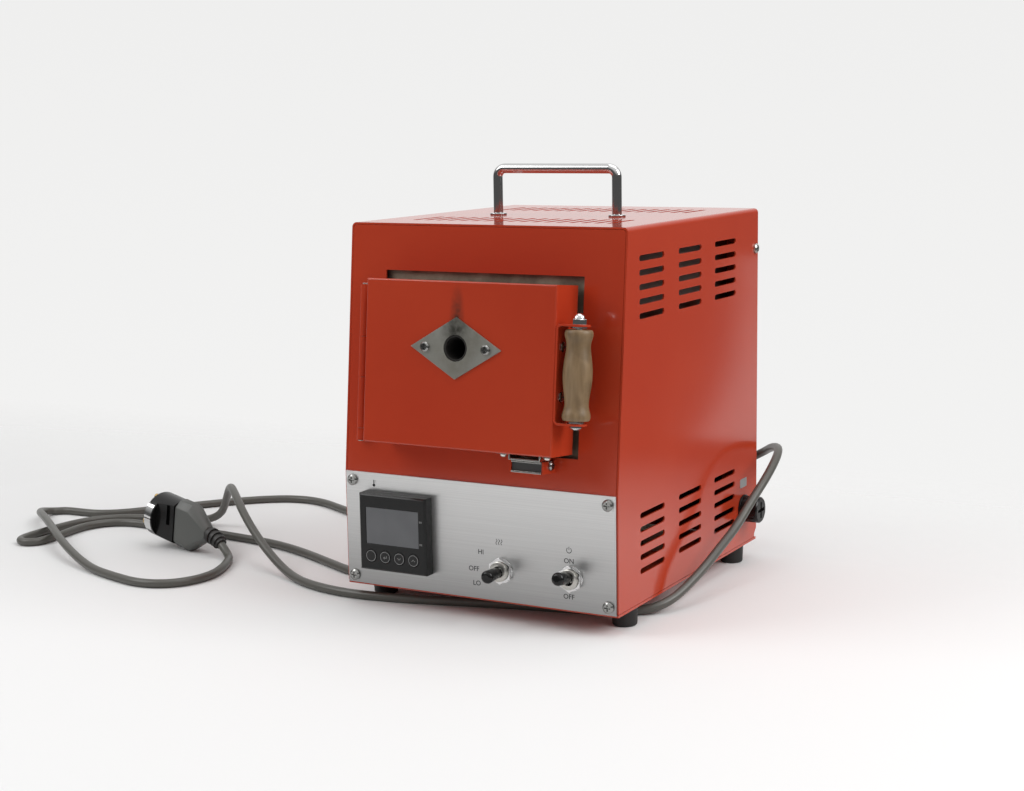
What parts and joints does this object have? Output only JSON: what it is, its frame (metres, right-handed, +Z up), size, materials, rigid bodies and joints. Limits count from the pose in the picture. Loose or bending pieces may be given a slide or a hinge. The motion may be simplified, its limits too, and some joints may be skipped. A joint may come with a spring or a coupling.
{
  "type": "jewellery kiln",
  "caption": "Bench-top electric kiln with a hinged door, peephole, turned grip, carrying handle, toggle switches, digital controller and mains cord",
  "frame": {"origin": "on the bench, in the middle of the kiln's footprint, the cord and its plug left aside", "axes": "+X to the right seen from the front, +Y to the back, +Z up"},
  "size_m": [0.5621, 0.2953, 0.27],
  "materials": {
    "red_panel": "satin powder coat",
    "brushed_plate": "brushed",
    "chrome": "polished",
    "steel": "plain",
    "scorched_steel": "heat-stained",
    "zinc": "zinc plated",
    "brass": "plain",
    "black_plastic": "moulded",
    "dark_plastic": "moulded",
    "grey_plastic": "moulded",
    "cream_plastic": "moulded",
    "window": "smoked, display off",
    "black_rubber": "moulded",
    "cord_grey": "flexible sheath",
    "wood": "turned, oiled",
    "ceramic_fibre": "moulded fibre",
    "sight_ceramic": "sooted ceramic",
    "magnet": "sintered",
    "element": "oxidised wire",
    "glass": "clear"
  },
  "bodies": {
    "casing": {"cover": "red_panel", "cover_screws": "chrome", "front_panel": "red_panel", "base_tray": "red_panel", "back_panel": "red_panel", "rubber_feet": "black_rubber", "foot_screws": "zinc", "carry_handle": "chrome", "handle_washers": "chrome", "handle_screws": "zinc", "partition_plate": "zinc", "control_plate": "brushed_plate", "front_screws": "chrome", "controller_case": "dark_plastic", "controller_bezel": "dark_plastic", "controller_window": "window", "heat_switch_body": "black_plastic", "main_switch_body": "black_plastic", "switch_nuts": "chrome", "fuse_holder_body": "black_plastic", "relay": "black_plastic", "terminal_block": "cream_plastic", "cord_gland": "black_plastic", "power_cord": "cord_grey", "strain_relief": "dark_plastic", "plug_body": "grey_plastic", "adapter": "black_plastic", "contact_pins": "zinc", "muffle_body": "ceramic_fibre", "muffle_case": "steel", "heating_elements": "element", "element_terminals": "brass", "thermocouple": "steel", "chamber_frame": "scorched_steel", "hinge_fixed_leaf": "red_panel", "hinge_pin": "zinc", "catch_bracket": "red_panel", "catch_magnet": "magnet", "catch_pole_plates": "zinc"},
    "door": {"door_shell": "red_panel", "door_insulation": "ceramic_fibre", "peephole_plate": "steel", "sight_tube": "sight_ceramic", "door_screws": "chrome", "handle_bracket": "red_panel", "grip_bolt": "chrome", "grip_nut_and_washers": "chrome", "hinge_moving_leaf": "red_panel", "strike_plate": "zinc"},
    "grip": {"wooden_grip": "wood"},
    "heat_toggle": {"heat_lever": "chrome", "heat_lever_sleeve": "black_plastic"},
    "main_toggle": {"main_lever": "chrome", "main_lever_sleeve": "black_plastic"},
    "key_1": {"controller_key_1": "dark_plastic"},
    "key_2": {"controller_key_2": "dark_plastic"},
    "key_3": {"controller_key_3": "dark_plastic"},
    "key_4": {"controller_key_4": "dark_plastic"},
    "fuse_carrier": {"fuse_link": "glass"},
    "fuse_turn": {"fuse_cap": "black_plastic"}
  },
  "joints": [
    {"name": "door_hinge", "type": "hinge", "parent": "casing", "child": "door", "pos_m": [-0.0864, -0.09986, 0.15196], "axis": [0, -0.1008, -0.9949], "range_deg": [0, 120]},
    {"name": "grip_spin", "type": "hinge", "parent": "door", "child": "grip", "pos_m": [0.07, -0.11682, 0.15518], "axis": [0, 0.1008, 0.9949], "continuous": true},
    {"name": "heat_rate_toggle", "type": "hinge", "parent": "casing", "child": "heat_toggle", "pos_m": [0.0118, -0.10472, 0.0322], "axis": [1, 0, 0], "range_deg": [-12, 12]},
    {"name": "main_switch_toggle", "type": "hinge", "parent": "casing", "child": "main_toggle", "pos_m": [0.0585, -0.10472, 0.0327], "axis": [1, 0, 0], "range_deg": [0, 24]},
    {"name": "key_1_press", "type": "slide", "parent": "casing", "child": "key_1", "axis": [0, 1, 0], "range_m": [0, 0.0005], "stiffness_N_per_m": 600},
    {"name": "key_2_press", "type": "slide", "parent": "casing", "child": "key_2", "axis": [0, 1, 0], "range_m": [0, 0.0005], "stiffness_N_per_m": 600},
    {"name": "key_3_press", "type": "slide", "parent": "casing", "child": "key_3", "axis": [0, 1, 0], "range_m": [0, 0.0005], "stiffness_N_per_m": 600},
    {"name": "key_4_press", "type": "slide", "parent": "casing", "child": "key_4", "axis": [0, 1, 0], "range_m": [0, 0.0005], "stiffness_N_per_m": 600},
    {"name": "fuse_carrier_pull", "type": "slide", "parent": "casing", "child": "fuse_carrier", "axis": [1, 0, 0], "range_m": [0, 0.04]},
    {"name": "fuse_cap_turn", "type": "hinge", "parent": "fuse_carrier", "child": "fuse_turn", "pos_m": [0.0946, 0.08927, 0.038], "axis": [1, 0, 0], "range_deg": [0, 90]}
  ]
}
